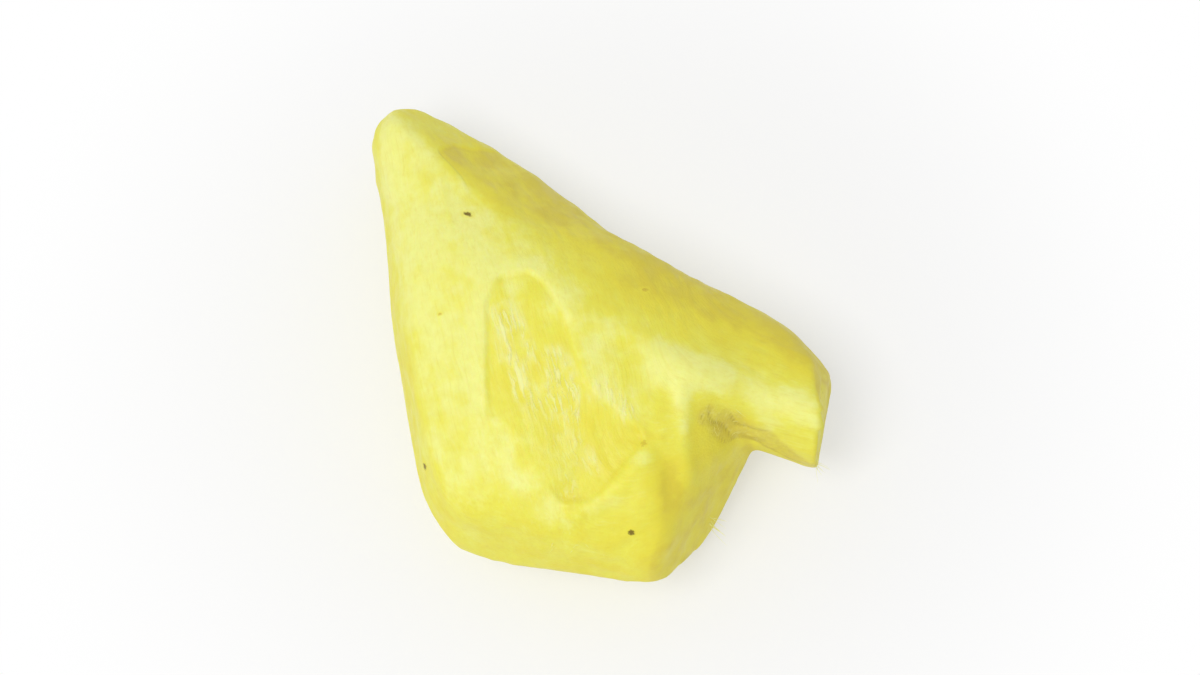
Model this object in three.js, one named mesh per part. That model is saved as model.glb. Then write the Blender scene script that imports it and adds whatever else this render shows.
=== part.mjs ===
// One peeled piece of ginger root: a thick body, a finger that ends in a round knob, a cut stub and a
// lower lobe, all one piece of flesh. It lies on a flat knife-cut facet.
// Units are millimetres, +Z is up, and the origin is the bottom centre of the bounding box.
//
// The root is one closed solid. Its shape is a distance-like field: round lobes that flow into each
// other, trimmed by the flat strokes of a peeling knife. Rings of points around a spine inside the
// root are then drawn out to the surface of that field.

import * as THREE from 'three';

// ---- Driving dimensions ---------------------------------------------------------------------------

// A lobe runs from `start` to `end` with a radius at each. `flat` scales its height at each end.
const FINGER = {
  start: [-29.8, 32.2, 14.5],
  end: [-11, -14.3, 16],
  radii: [9.8, 27],
  flat: [1, 0.76],
};
const SHOULDER = {
  start: [-20.1, 26.6, 15.5],
  end: [1.1, -1.3, 16.5],
  radii: [11.5, 19.5],
  flat: [0.9, 0.9],
};
const LOWER_LOBE = {
  start: [11, -10.8, 14.5],
  end: [7.4, -26, 14.6],
  radii: [17.2, 16.6],
  flat: [0.96, 0.94],
};
const STUB = {
  start: [0, 1.6, 20],
  end: [37.2, -12.2, 15.6],
  radii: [12.6, 10.7],
  flat: [1, 1],
};
const BODY_BLEND = 6; // width of the soft valley between the lobes of the body
const FORK_BLEND = 2.5; // width of the tighter fork between the stub and the lower lobe
const CREST_BLEND = 7; // width of the softer valley above the stub's root
const BLEND_CHANGE = { from: -10, to: -4 }; // distances left of the stub's axis that the change takes

// A knife stroke takes off everything beyond a plane. The plane faces `bearing` degrees from +X
// towards +Y and `lift` degrees above the horizontal, passes through `at`, and leaves a rounded
// edge about `edge` wide.
const BODY_STROKES = [
  { bearing: 57, lift: 5, at: [-12.5, 32, 14], edge: 3 }, // upper right wall
  { bearing: 57, lift: 40, at: [-15.6, 23.7, 24], edge: 3 }, // upper right slope, by the knob
  { bearing: 40, lift: 8, at: [-0.9, 23, 14], edge: 5 }, // wall above the stub's root
  { bearing: 190, lift: 8, at: [-35.6, 9.4, 14], edge: 5 }, // left wall
  { bearing: 194, lift: 52, at: [-29.3, -7.5, 29], edge: 8 }, // left slope
  { bearing: 214, lift: 12, at: [-28.1, -29, 14], edge: 3 }, // lower left corner
  { bearing: 254, lift: 14, at: [-12.9, -38.4, 14], edge: 4 }, // lower wall
  { bearing: 262, lift: 58, at: [-9.5, -35.9, 28], edge: 7 }, // lower slope
  { bearing: 225, lift: 79, at: [-12.5, 0.9, 34], edge: 5 }, // broad top
  { bearing: -31, lift: 10, at: [19.3, -27.9, 14], edge: 3 }, // right wall of the lower lobe
  { bearing: -24, lift: 40, at: [17, -24.2, 26.6], edge: 4 }, // right slope of the lower lobe
  { bearing: 200, lift: -42, at: [-31, -10, 5], edge: 5 }, // under the left wall
  { bearing: 268, lift: -40, at: [-6, -36, 5], edge: 5 }, // under the lower wall
  { bearing: 60, lift: -40, at: [-9, 26, 5], edge: 5 }, // under the upper right wall
];
const STUB_STROKES = [
  { bearing: -10, lift: 5, at: [37.9, -12.3, 13], edge: 1.2 }, // the cut end
  { bearing: 38, lift: 10, at: [36.9, -3.3, 13], edge: 2 }, // upper corner of the cut end
];
const RIDGE_STROKE = { bearing: 54, lift: 61, at: [-5.2, 3.2, 33], edge: 5 }; // slope above stub and body
const UNDERSIDE_EDGE = 2; // rounding around the flat facet that the root lies on, at z = 0

// A spoon-shaped hollow that a curved stroke left in the top: `at` is its deepest point, it runs
// along `heading`, and its two radii give its curvature along and across.
const SCOOP = {
  bearing: 215,
  lift: 80,
  at: [-8, -12.3, 31.6],
  heading: -66,
  along: 95,
  across: 22,
  edge: 1.2,
};

// The spine is a cubic curve inside the root, from the middle of the knob, through the body, into
// the stub: its start, two handles and its end. From each of its points, every point of the surface
// around it can be seen.
const SPINE = [
  [-30.4, 33, 14.5],
  [-18, -6, 17],
  [4, -16, 16],
  [32.5, -11, 13.7],
];
const REACH = 50; // longer than any line from the spine to the surface
const HALVINGS = 40; // narrows the reach down to far less than a thousandth of a millimetre
const RINGS_ALONG = 54; // steps along the spine, with a ring between each two
const RINGS_PER_TIP = 7; // rings that close each end
const POINTS_AROUND = 40; // points in each ring
const FLAT_LIMIT = 0.01; // points this close to the ground belong to the flat facet

const FLESH = { color: 0xe9e376, roughness: 0.5, metalness: 0 };

// ---- The field ------------------------------------------------------------------------------------

const radians = THREE.MathUtils.degToRad;

function smoothMax(a, b, width) {
  const overlap = Math.max(width - Math.abs(a - b), 0) / width;
  return Math.max(a, b) + (overlap * overlap * width) / 4;
}

function smoothMin(a, b, width) {
  return -smoothMax(-a, -b, width);
}

function facing(bearing, lift) {
  const level = Math.cos(radians(lift));
  return new THREE.Vector3(
    level * Math.cos(radians(bearing)),
    level * Math.sin(radians(bearing)),
    Math.sin(radians(lift)),
  );
}

function makeLobe({ start, end, radii, flat }) {
  const from = new THREE.Vector3(...start);
  const run = new THREE.Vector3(...end).sub(from);
  const offset = new THREE.Vector3();
  return (p) => {
    offset.subVectors(p, from);
    const t = THREE.MathUtils.clamp(offset.dot(run) / run.lengthSq(), 0, 1);
    offset.addScaledVector(run, -t);
    const ease = t * t * (3 - 2 * t);
    const height = offset.z / THREE.MathUtils.lerp(flat[0], flat[1], ease);
    return Math.hypot(offset.x, offset.y, height) - THREE.MathUtils.lerp(radii[0], radii[1], ease);
  };
}

function makeStroke({ bearing, lift, at, edge }) {
  const normal = facing(bearing, lift);
  const level = normal.dot(new THREE.Vector3(...at));
  return (p, depth) => smoothMax(depth, normal.dot(p) - level, edge);
}

function makeScoop({ bearing, lift, at, heading, along, across, edge }) {
  const normal = facing(bearing, lift);
  const length = facing(heading, 0);
  length.addScaledVector(normal, -length.dot(normal)).normalize();
  const side = new THREE.Vector3().crossVectors(normal, length);
  const bottom = new THREE.Vector3(...at);
  const offset = new THREE.Vector3();
  return (p, depth) => {
    offset.subVectors(p, bottom);
    const rise = offset.dot(length) ** 2 / (2 * along) + offset.dot(side) ** 2 / (2 * across);
    return smoothMax(depth, offset.dot(normal) - rise, edge);
  };
}

const finger = makeLobe(FINGER);
const shoulder = makeLobe(SHOULDER);
const lowerLobe = makeLobe(LOWER_LOBE);
const stub = makeLobe(STUB);
const bodyStrokes = BODY_STROKES.map(makeStroke);
const stubStrokes = STUB_STROKES.map(makeStroke);
const ridgeStroke = makeStroke(RIDGE_STROKE);
const scoop = makeScoop(SCOOP);

// The width of the valley around the stub's root: that of the fork on the fork's side of the stub's
// axis, and that of the crest on the other.
const stubStart = new THREE.Vector2(STUB.start[0], STUB.start[1]);
const stubRun = new THREE.Vector2(STUB.end[0], STUB.end[1]).sub(stubStart).normalize();
function stubBlend(p) {
  const left = (p.y - stubStart.y) * stubRun.x - (p.x - stubStart.x) * stubRun.y;
  const ease = THREE.MathUtils.smoothstep(left, BLEND_CHANGE.from, BLEND_CHANGE.to);
  return THREE.MathUtils.lerp(FORK_BLEND, CREST_BLEND, ease);
}

// Negative inside the root, positive outside, zero on its surface.
function field(p) {
  let body = smoothMin(finger(p), shoulder(p), BODY_BLEND);
  body = smoothMin(body, lowerLobe(p), BODY_BLEND);
  for (const stroke of bodyStrokes) body = stroke(p, body);
  let branch = stub(p);
  for (const stroke of stubStrokes) branch = stroke(p, branch);
  let depth = smoothMin(body, branch, stubBlend(p));
  depth = ridgeStroke(p, depth);
  depth = scoop(p, depth);
  return smoothMax(depth, -p.z, UNDERSIDE_EDGE);
}

// ---- The surface ----------------------------------------------------------------------------------

const spine = new THREE.CubicBezierCurve3(...SPINE.map((point) => new THREE.Vector3(...point)));
const UP = new THREE.Vector3(0, 0, 1);

// Bisects for the surface along a ray that starts inside the root.
function surfacePoint(origin, direction) {
  const point = new THREE.Vector3();
  let near = 0;
  let far = REACH;
  for (let halving = 0; halving < HALVINGS; halving += 1) {
    const middle = (near + far) / 2;
    point.copy(origin).addScaledVector(direction, middle);
    if (field(point) < 0) near = middle;
    else far = middle;
  }
  return point;
}

// One ring: rays from the spine at `along` (0 to 1) that lean `lean` degrees from the way ahead.
function makeRing(along, lean) {
  const origin = spine.getPointAt(along);
  const ahead = spine.getTangentAt(along);
  const side = new THREE.Vector3().crossVectors(ahead, UP).normalize();
  const over = new THREE.Vector3().crossVectors(side, ahead);
  const ring = [];
  for (let i = 0; i < POINTS_AROUND; i += 1) {
    const angle = (2 * Math.PI * i) / POINTS_AROUND;
    const outward = side.clone().multiplyScalar(Math.cos(angle)).addScaledVector(over, Math.sin(angle));
    const direction = outward.multiplyScalar(Math.sin(radians(lean)));
    direction.addScaledVector(ahead, Math.cos(radians(lean)));
    ring.push(surfacePoint(origin, direction));
  }
  return ring;
}

// All the rings from the knob's tip to the cut end, without the two tip points themselves.
function makeRings() {
  const rings = [];
  for (let i = 1; i <= RINGS_PER_TIP; i += 1) rings.push(makeRing(0, 180 - (90 * i) / RINGS_PER_TIP));
  for (let i = 1; i < RINGS_ALONG; i += 1) rings.push(makeRing(i / RINGS_ALONG, 90));
  for (let i = RINGS_PER_TIP; i >= 1; i -= 1) rings.push(makeRing(1, (90 * i) / RINGS_PER_TIP));
  return rings;
}

function makeRootGeometry() {
  const rings = makeRings();
  const knobTip = surfacePoint(spine.getPointAt(0), spine.getTangentAt(0).negate());
  const endTip = surfacePoint(spine.getPointAt(1), spine.getTangentAt(1));
  const points = [knobTip, ...rings.flat(), endTip];

  const corner = (ring, i) => 1 + ring * POINTS_AROUND + (i % POINTS_AROUND);
  const last = points.length - 1;
  const triangles = [];
  for (let i = 0; i < POINTS_AROUND; i += 1) {
    triangles.push(0, corner(0, i), corner(0, i + 1));
    for (let ring = 0; ring < rings.length - 1; ring += 1) {
      const [a, b] = [corner(ring, i), corner(ring, i + 1)];
      const [c, d] = [corner(ring + 1, i), corner(ring + 1, i + 1)];
      triangles.push(a, c, b, b, c, d);
    }
    triangles.push(corner(rings.length - 1, i), last, corner(rings.length - 1, i + 1));
  }

  const coordinates = points.flatMap((p) => [p.x, p.y, p.z < FLAT_LIMIT ? 0 : p.z]);
  const geometry = new THREE.BufferGeometry();
  geometry.setAttribute('position', new THREE.Float32BufferAttribute(coordinates, 3));
  geometry.setIndex(triangles);
  geometry.computeBoundingBox();
  const middle = geometry.boundingBox.getCenter(new THREE.Vector3());
  geometry.translate(-middle.x, -middle.y, 0);
  geometry.computeVertexNormals();
  return geometry;
}

const root = new THREE.Mesh(makeRootGeometry(), new THREE.MeshStandardMaterial(FLESH));
root.name = 'ginger_root';

const group = new THREE.Group();
group.add(root);

export default group;
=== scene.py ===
"""One peeled piece of ginger root, lying on a pale table.

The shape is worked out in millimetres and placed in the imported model's box, in metres, +Z up.
"""
import math

import bpy
import numpy as np
from mathutils.bvhtree import BVHTree
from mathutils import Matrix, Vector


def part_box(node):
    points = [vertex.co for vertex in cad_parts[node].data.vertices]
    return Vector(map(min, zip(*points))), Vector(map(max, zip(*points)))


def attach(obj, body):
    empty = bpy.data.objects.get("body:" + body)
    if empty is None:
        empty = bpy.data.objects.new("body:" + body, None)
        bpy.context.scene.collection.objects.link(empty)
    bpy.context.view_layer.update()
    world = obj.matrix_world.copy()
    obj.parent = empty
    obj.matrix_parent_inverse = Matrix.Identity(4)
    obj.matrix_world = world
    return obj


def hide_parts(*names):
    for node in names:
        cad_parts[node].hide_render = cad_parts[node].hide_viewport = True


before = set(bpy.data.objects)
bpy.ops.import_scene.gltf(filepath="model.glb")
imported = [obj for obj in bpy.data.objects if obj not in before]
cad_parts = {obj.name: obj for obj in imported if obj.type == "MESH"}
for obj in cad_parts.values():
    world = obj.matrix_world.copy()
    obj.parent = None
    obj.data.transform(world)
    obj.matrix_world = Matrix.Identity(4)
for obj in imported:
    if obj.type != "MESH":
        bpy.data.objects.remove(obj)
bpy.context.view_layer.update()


# ---- The flesh -------------------------------------------------------------------------------------
# One solid piece of rhizome: a thick body, a finger ending in a round knob, a cut stub and a lower
# lobe. It grew round and smooth, and a knife took the skin off in long flat strokes.

LOBES = {  # start, end, radius at each, height scale at each
    "finger": ((-29.8, 32.2, 14.5), (-11.0, -14.3, 16.0), (9.8, 27.0), (1.0, 0.76)),
    "shoulder": ((-20.1, 26.6, 15.5), (1.1, -1.3, 16.5), (11.5, 19.5), (0.9, 0.9)),
    "lower": ((11.0, -10.8, 14.5), (7.4, -26.0, 14.6), (17.2, 16.6), (0.96, 0.94)),
    "stub": ((0.0, 1.6, 20.0), (37.2, -12.2, 15.6), (12.6, 10.7), (1.0, 1.0)),
}
BODY_BLEND = 6.0
FORK_BLEND = 2.5  # a tight crease below the stub's root
CREST_BLEND = 7.0  # and a wide one above it
BODY_STROKES = [  # bearing, lift, a point on the plane, width of the rounded edge
    (57, 5, (-12.5, 32.0, 14.0), 2.0),
    (57, 40, (-15.6, 23.7, 24.0), 1.6),
    (40, 8, (-0.9, 23.0, 14.0), 5.0),
    (190, 8, (-35.6, 9.4, 14.0), 3.5),
    (194, 52, (-29.3, -7.5, 29.0), 6.0),
    (214, 12, (-28.1, -29.0, 14.0), 1.8),
    (254, 14, (-12.9, -38.4, 14.0), 2.4),
    (262, 58, (-9.5, -35.9, 28.0), 6.0),
    (225, 79, (-12.5, 0.9, 34.0), 5.0),
    (-31, 10, (19.3, -27.9, 14.0), 1.8),
    (-24, 40, (17.0, -24.2, 26.6), 3.0),
    (200, -42, (-31.0, -10.0, 5.0), 3.0),
    (268, -40, (-6.0, -36.0, 5.0), 3.0),
    (60, -40, (-9.0, 26.0, 5.0), 3.0),
]
STUB_STROKES = [
    (-10, 5, (37.9, -12.3, 13.0), 0.7),
    (38, 10, (36.9, -3.3, 13.0), 1.6),
]
RIDGE_STROKE = (54, 61, (-5.2, 3.2, 33.0), 5.0)
UNDERSIDE_EDGE = 1.2

SPINE = np.array([(-30.4, 33.0, 14.5), (-18.0, -6.0, 17.0), (4.0, -16.0, 16.0), (32.5, -11.0, 13.7)])
REACH = 50.0
ROWS = 300
PATCH = 72
AROUND = 4 * PATCH


def smooth_max(a, b, width):
    """The larger of a and b, with the crease between them rounded over a band of that width."""
    overlap = np.maximum(width - np.abs(a - b), 0) / width
    return np.maximum(a, b) + overlap**2 * width / 4


def smooth_min(a, b, width):
    """The smaller of a and b, rounded the same way."""
    return -smooth_max(-a, -b, width)


def smooth_step(x, low, high):
    """0 below low, 1 above high, and an S-shaped rise between them."""
    t = np.clip((x - low) / (high - low), 0, 1)
    return t * t * (3 - 2 * t)


def facing(bearing, lift):
    """The unit vector that points bearing degrees round from +X and lift degrees above level."""
    b, h = math.radians(bearing), math.radians(lift)
    return np.array([math.cos(b) * math.cos(h), math.sin(b) * math.cos(h), math.sin(h)])


def lobe_depth(p, start, end, radii, flat):
    """Distance from the line start-end, with heights divided by flat, less a radius that eases
    from one end's value to the other's."""
    start, run = np.array(start), np.array(end) - np.array(start)
    t = np.clip((p - start) @ run / (run @ run), 0, 1)
    off = p - start - t[..., None] * run
    ease = t * t * (3 - 2 * t)
    height = off[..., 2] / (flat[0] + (flat[1] - flat[0]) * ease)
    radius = radii[0] + (radii[1] - radii[0]) * ease
    return np.sqrt(off[..., 0] ** 2 + off[..., 1] ** 2 + height**2) - radius


def stroke(p, depth, bearing, lift, at, edge):
    """Takes off what lies beyond the plane through at: the rounded maximum of depth and the
    height above the plane."""
    return smooth_max(depth, (p - np.array(at)) @ facing(bearing, lift), edge)


def stub_blend(p):
    """The width of the crease around the stub's root: FORK_BLEND on the fork's side of the stub's
    axis, easing to CREST_BLEND nearer the crest."""
    start, end = np.array(LOBES["stub"][0][:2]), np.array(LOBES["stub"][1][:2])
    run = (end - start) / np.linalg.norm(end - start)
    side = (p[..., :2] - start) @ np.array([-run[1], run[0]])
    return FORK_BLEND + (CREST_BLEND - FORK_BLEND) * smooth_step(side, -10, -4)


def flesh_depth(p):
    """Negative inside the flesh and positive outside: the lobes joined by rounded minimums, then
    trimmed by each knife stroke and by the ground."""
    body = smooth_min(lobe_depth(p, *LOBES["finger"]), lobe_depth(p, *LOBES["shoulder"]), BODY_BLEND)
    body = smooth_min(body, lobe_depth(p, *LOBES["lower"]), BODY_BLEND)
    for cut in BODY_STROKES:
        body = stroke(p, body, *cut)
    branch = lobe_depth(p, *LOBES["stub"])
    for cut in STUB_STROKES:
        branch = stroke(p, branch, *cut)
    depth = stroke(p, smooth_min(body, branch, stub_blend(p)), *RIDGE_STROKE)
    return smooth_max(depth, -p[..., 2], UNDERSIDE_EDGE)


def spine_at(t):
    """The cubic Bezier curve of the four SPINE points, and its unit direction, at t from 0 to 1."""
    t = np.asarray(t)[..., None]
    point = (1 - t) ** 3 * SPINE[0] + 3 * (1 - t) ** 2 * t * SPINE[1]
    point = point + 3 * (1 - t) * t**2 * SPINE[2] + t**3 * SPINE[3]
    ahead = (1 - t) ** 2 * (SPINE[1] - SPINE[0]) + 2 * (1 - t) * t * (SPINE[2] - SPINE[1])
    ahead = ahead + t**2 * (SPINE[3] - SPINE[2])
    return point, ahead / np.linalg.norm(ahead, axis=-1, keepdims=True)


def cast(along, lean, angle):
    """The surface point met by a ray that starts on the spine at along, leans lean from the way
    ahead and is turned by angle around it. Found by halving the interval it lies in."""
    origin, ahead = spine_at(along)
    side = np.cross(ahead, (0, 0, 1))
    side /= np.linalg.norm(side, axis=-1, keepdims=True)
    over = np.cross(side, ahead)
    outward = side * np.cos(angle)[..., None] + over * np.sin(angle)[..., None]
    ray = outward * np.sin(lean)[..., None] + ahead * np.cos(lean)[..., None]
    near, far = np.zeros(ray.shape[:-1]), np.full(ray.shape[:-1], REACH)
    for _ in range(24):
        middle = (near + far) / 2
        buried = flesh_depth(origin + ray * middle[..., None]) < 0
        near, far = np.where(buried, middle, near), np.where(buried, far, middle)
    return origin + ray * far[..., None]


def even_steps():
    """Values of the spine's t for the rows: even distances along it, closer where the body is."""
    t = np.linspace(0, 1, 2001)
    middle = (t[1:] + t[:-1]) / 2
    closer = 1 + 0.7 * smooth_step(middle, 0.12, 0.28) * (1 - smooth_step(middle, 0.68, 0.85))
    step = np.linalg.norm(np.diff(spine_at(t)[0], axis=0), axis=1) * closer
    length = np.concatenate([[0], np.cumsum(step)])
    return np.interp(np.linspace(0, length[-1], ROWS + 1), length, t)


def even_angles(along):
    """For each row, the angles that share out its outline evenly, with steps more than twice as
    close on the upper side as on the underside."""
    coarse = np.linspace(0, 2 * math.pi, 145)
    t, angle = np.meshgrid(along, coarse, indexing="ij")
    ring = cast(t, np.full(t.shape, math.pi / 2), angle)
    above = smooth_step(ring[..., 2] - SPINE[:, 2].mean(), -3, 6)
    step = np.linalg.norm(np.diff(ring, axis=1), axis=-1) * (1 + 0.8 * (above[:, 1:] + above[:, :-1]))
    share = np.concatenate([np.zeros((len(along), 1)), np.cumsum(step, axis=1)], axis=1)
    share /= share[:, -1:]
    even = np.arange(AROUND) / AROUND
    return np.array([np.interp(even, row, coarse) for row in share])


def cap(along, row_angles, ahead):
    """A square grid of rays that closes one end. Square rings of the grid become round rings whose
    lean falls from a right angle at the rim to nothing at the tip."""
    a, b = np.meshgrid(np.linspace(-1, 1, PATCH + 1), np.linspace(-1, 1, PATCH + 1), indexing="ij")
    reach = np.maximum(np.abs(a), np.abs(b))
    safe = np.where(reach > 0, reach, 1)
    quarter = math.pi / 4
    angle = np.select(
        [a >= np.abs(b), b > np.abs(a), -a >= np.abs(b)],
        [quarter * b / safe, 2 * quarter - quarter * a / safe, 4 * quarter - quarter * b / safe],
        6 * quarter + quarter * a / safe)
    angle = np.mod(angle, 2 * math.pi)
    wrapped = np.append(row_angles, 2 * math.pi)
    evened = np.interp(angle, np.linspace(0, 2 * math.pi, AROUND + 1), wrapped)
    angle_used = angle + reach * (evened - angle)
    lean = reach * math.pi / 2 if ahead else math.pi - reach * math.pi / 2
    points = cast(np.full(a.shape, float(along)), lean, angle_used)
    rim = np.mod(np.rint(angle / (2 * math.pi) * AROUND).astype(int), AROUND)
    return points, rim, reach > 1 - 0.5 / PATCH


def flesh_grid():
    """All the points of the skinless surface and the quads between them: rows of rings along the
    spine, with a square patch at each end whose rim is the first or last ring."""
    along = even_steps()
    angles = even_angles(along)
    t = np.repeat(along[:, None], AROUND, axis=1)
    rings = cast(t, np.full(t.shape, math.pi / 2), angles)
    points = [rings.reshape(-1, 3)]
    row, col = np.meshgrid(np.arange(ROWS), np.arange(AROUND), indexing="ij")
    here, after = row * AROUND + col, row * AROUND + (col + 1) % AROUND
    quads = [np.stack([here, here + AROUND, after + AROUND, after], -1).reshape(-1, 4)]
    for end, ahead in ((0, False), (ROWS, True)):
        patch, rim, on_rim = cap(along[end], angles[end], ahead)
        number = np.where(on_rim, end * AROUND + rim, 0)
        number[~on_rim] = sum(map(len, points)) + np.arange((~on_rim).sum())
        points.append(patch[~on_rim])
        face = np.stack([number[:-1, :-1], number[1:, :-1], number[1:, 1:], number[:-1, 1:]], -1)
        quads.append(face.reshape(-1, 4)[:, ::-1] if ahead else face.reshape(-1, 4))
    return np.concatenate(points), np.concatenate(quads)


def outward_normals(p, depth_of):
    """The direction in which depth_of grows fastest, by central differences."""
    reach = 0.05
    slope = [depth_of(p + step) - depth_of(p - step) for step in np.eye(3) * reach]
    normal = np.stack(slope, -1)
    return normal / np.linalg.norm(normal, axis=-1, keepdims=True)


def value_noise(q, seed):
    """Smooth random values from -1 to 1: a number scrambled from each corner of a unit lattice and
    the seed, blended between the corners with eased weights."""
    cell = np.floor(q).astype(np.int64)
    t = q - cell
    t = t * t * (3 - 2 * t)
    total = np.zeros(q.shape[:-1])
    for corner in np.ndindex(2, 2, 2):
        x, y, z = np.moveaxis(cell + np.array(corner), -1, 0).astype(np.uint64)
        code = x * np.uint64(73856093) ^ y * np.uint64(19349663) ^ z * np.uint64(83492791)
        code = (code ^ np.uint64(seed * 7919 + 17)) * np.uint64(0x9E3779B97F4A7C15)
        code = (code ^ (code >> np.uint64(29))) * np.uint64(0xBF58476D1CE4E5B9)
        number = (code >> np.uint64(40)).astype(float) / 2**23 - 1
        total += number * np.prod(np.where(corner, t, 1 - t), axis=-1)
    return total


GRAIN_HEADING = -77.0  # the fibres run from the knob down the body
STUB_HEADING = -21.0
STUB_ROOT = np.array([13.0, -6.0, 15.0])


def grain_place(p):
    """Each point's place along, across and above the fibres. The fibres of the body turn into
    those of the stub at its root, and wander a little sideways."""
    own, turned = facing(GRAIN_HEADING, 0), facing(STUB_HEADING, 0)
    share = smooth_step((p - STUB_ROOT) @ turned, -6, 12)
    body = np.stack([(p - STUB_ROOT) @ own, (p - STUB_ROOT) @ facing(GRAIN_HEADING + 90, 0)], -1)
    stub = np.stack([(p - STUB_ROOT) @ turned, (p - STUB_ROOT) @ facing(STUB_HEADING + 90, 0)], -1)
    flat = body + (stub - body) * share[..., None]
    wander = 0.9 * value_noise(p / 11, 3) + 0.25 * value_noise(p / 4, 4)
    return np.stack([flat[..., 0], flat[..., 1] + wander, p[..., 2] + 0.5 * wander], -1)


def inside(p, start, end, radii):
    """How far inside a tapering capsule a point is, negative outside: the radius at the nearest
    place on the line, less the distance from it. Two-number ends give a capsule drawn in plan."""
    start, run = np.array(start), np.array(end) - np.array(start)
    q = p[..., :len(start)]
    t = np.clip((q - start) @ run / (run @ run), 0, 1)
    away = np.linalg.norm(q - start - t[..., None] * run, axis=-1)
    return radii[0] + (radii[1] - radii[0]) * t - away


def beside(p, stops):
    """Where each point lies by a bent line drawn in plan: how far along it the nearest place is,
    from 0 to 1, and the distance from it, positive on the left of the way along."""
    stops = np.array(stops)
    runs = np.diff(stops, axis=0)
    lengths = np.linalg.norm(runs, axis=1)
    side, place = np.full(len(p), np.inf), np.zeros(len(p))
    for k, (start, run, length) in enumerate(zip(stops, runs, lengths)):
        t = np.clip((p[:, :2] - start) @ run / length**2, 0, 1)
        off = p[:, :2] - start - t[:, None] * run
        away = np.linalg.norm(off, axis=1)
        nearer = away < np.abs(side)
        left = np.where(run[0] * off[:, 1] - run[1] * off[:, 0] < 0, -1.0, 1.0)
        side = np.where(nearer, away * left, side)
        place = np.where(nearer, (lengths[:k].sum() + t * length) / lengths.sum(), place)
    return place, side


def within(p, corners, radius):
    """How far inside a closed outline drawn in plan a point is, negative outside: the distance to
    the nearest side of the polygon, signed by whether a line along x crosses an odd number of
    sides, plus the radius by which the polygon is grown and its corners are rounded."""
    corners = np.array(corners)
    away, odd = np.full(len(p), np.inf), np.zeros(len(p), dtype=bool)
    for start, end in zip(corners, np.roll(corners, -1, axis=0)):
        run = end - start
        t = np.clip((p[:, :2] - start) @ run / (run @ run), 0, 1)
        away = np.minimum(away, np.linalg.norm(p[:, :2] - start - t[:, None] * run, axis=1))
        if run[1] != 0:
            cross = start[0] + (p[:, 1] - start[1]) / run[1] * run[0]
            odd ^= ((start[1] > p[:, 1]) != (end[1] > p[:, 1])) & (p[:, 0] < cross)
    return np.where(odd, away, -away) + radius


def bell(x, middle, width):
    """1 at the middle, falling on both sides as exp(-((x - middle) / width)**2)."""
    return np.exp(-((x - middle) / width) ** 2)


def trail(p, stops, width):
    """A bell-shaped profile on both sides of a bent line, which fades out over the first and last
    quarter of its length."""
    place, side = beside(p, stops)
    return bell(side, 0, width) * smooth_step(place, 0, 0.25) * (1 - smooth_step(place, 0.75, 1))


def spot(p, middle, spread):
    """A bell-shaped spot: exp(-distance**2), with the distance measured in spreads along each axis.
    A two-number middle gives a spot drawn in plan."""
    return bell(np.linalg.norm((p[:, :len(middle)] - middle) / spread, axis=1), 0, 1)


def bowl(depth_in, width):
    """The profile of a shallow hollow: 0 at its edge, rising as a parabola to 1 at width inside."""
    return 1 - (1 - np.clip(depth_in / width, 0, 1)) ** 2


SCOOP = [  # the hollow's outline, 2 mm inside its edge
    (-16.3, -17.5), (-16.3, 0.0), (-14.6, 3.4), (-11.8, 3.6), (-9.2, 1.0), (-5.8, -8.6), (-2.6, -15.5),
    (3.6, -19.9), (5.3, -22.4), (2.0, -26.8), (-2.4, -30.6), (-5.0, -30.8), (-8.0, -27.0), (-10.0, -21.5),
    (-13.3, -18.6)]
SLOPE_FACET = [  # a knife stroke on the slope by the knob, 1 mm inside its edge
    (-25.6, 29.6), (-22.8, 25.9), (-20.4, 21.8), (-17.8, 18.9), (-14.9, 17.2), (-11.0, 16.6), (-5.0, 16.7),
    (2.0, 18.0), (2.0, 30.0), (-12.0, 34.0), (-20.0, 31.9), (-24.0, 31.6)]
CREST = [  # the highest line, from the knob over the body to the end of the stub
    (-31.0, 36.0), (-23.5, 21.5), (-14.0, 11.5), (-7.2, 5.0), (1.9, -1.8), (9.9, -5.6),
    (16.7, -8.2), (25.0, -10.9), (33.4, -14.5), (39.0, -17.0)]
# In the last column, the paler tone of the ridge, the crown and the knob is painted highlight, and the
# golden tone of the valley is painted shade.
FOLDS = {  # a bent line in plan, half its width, its height, and how much more golden it is
    "lip below the hollow": (
        [(11.8, -19.0), (8.2, -24.3), (3.0, -30.2), (-3.0, -34.2), (-11.0, -36.5)], 1.1, 0.28, 0.0),
    "ridge left of the fork": (
        [(12.2, -12.0), (13.4, -18.0), (13.7, -23.5), (14.8, -31.5)], 1.5, 0.7, -0.4),
    "crown of the stub": (
        [(2.0, -5.0), (14.0, -12.0), (21.0, -13.9), (29.0, -15.4), (46.0, -19.5)], 3.4, 1.2, -0.35),
    "knob": ([(-34.0, 39.5), (-35.0, 34.0), (-34.9, 28.0), (-33.2, 20.0)], 1.8, 0.3, -0.15),
    "valley in the lower lobe": (
        [(6.0, -17.5), (8.6, -22.6), (11.0, -28.0), (12.0, -37.5)], 1.6, -0.5, 0.22),
    "dip beside the hollow": ([(2.5, -5.0), (6.0, -10.0), (8.0, -16.5)], 2.4, -0.3, 0.1),
    "left edge": ([(-28.6, 5.0), (-28.0, -6.0), (-26.4, -18.0), (-22.0, -28.0)], 1.7, -0.35, 0.0),
    "left slope": ([(-23.2, 2.0), (-22.4, -9.0), (-19.5, -20.0)], 1.4, -0.35, 0.0),
}
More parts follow.
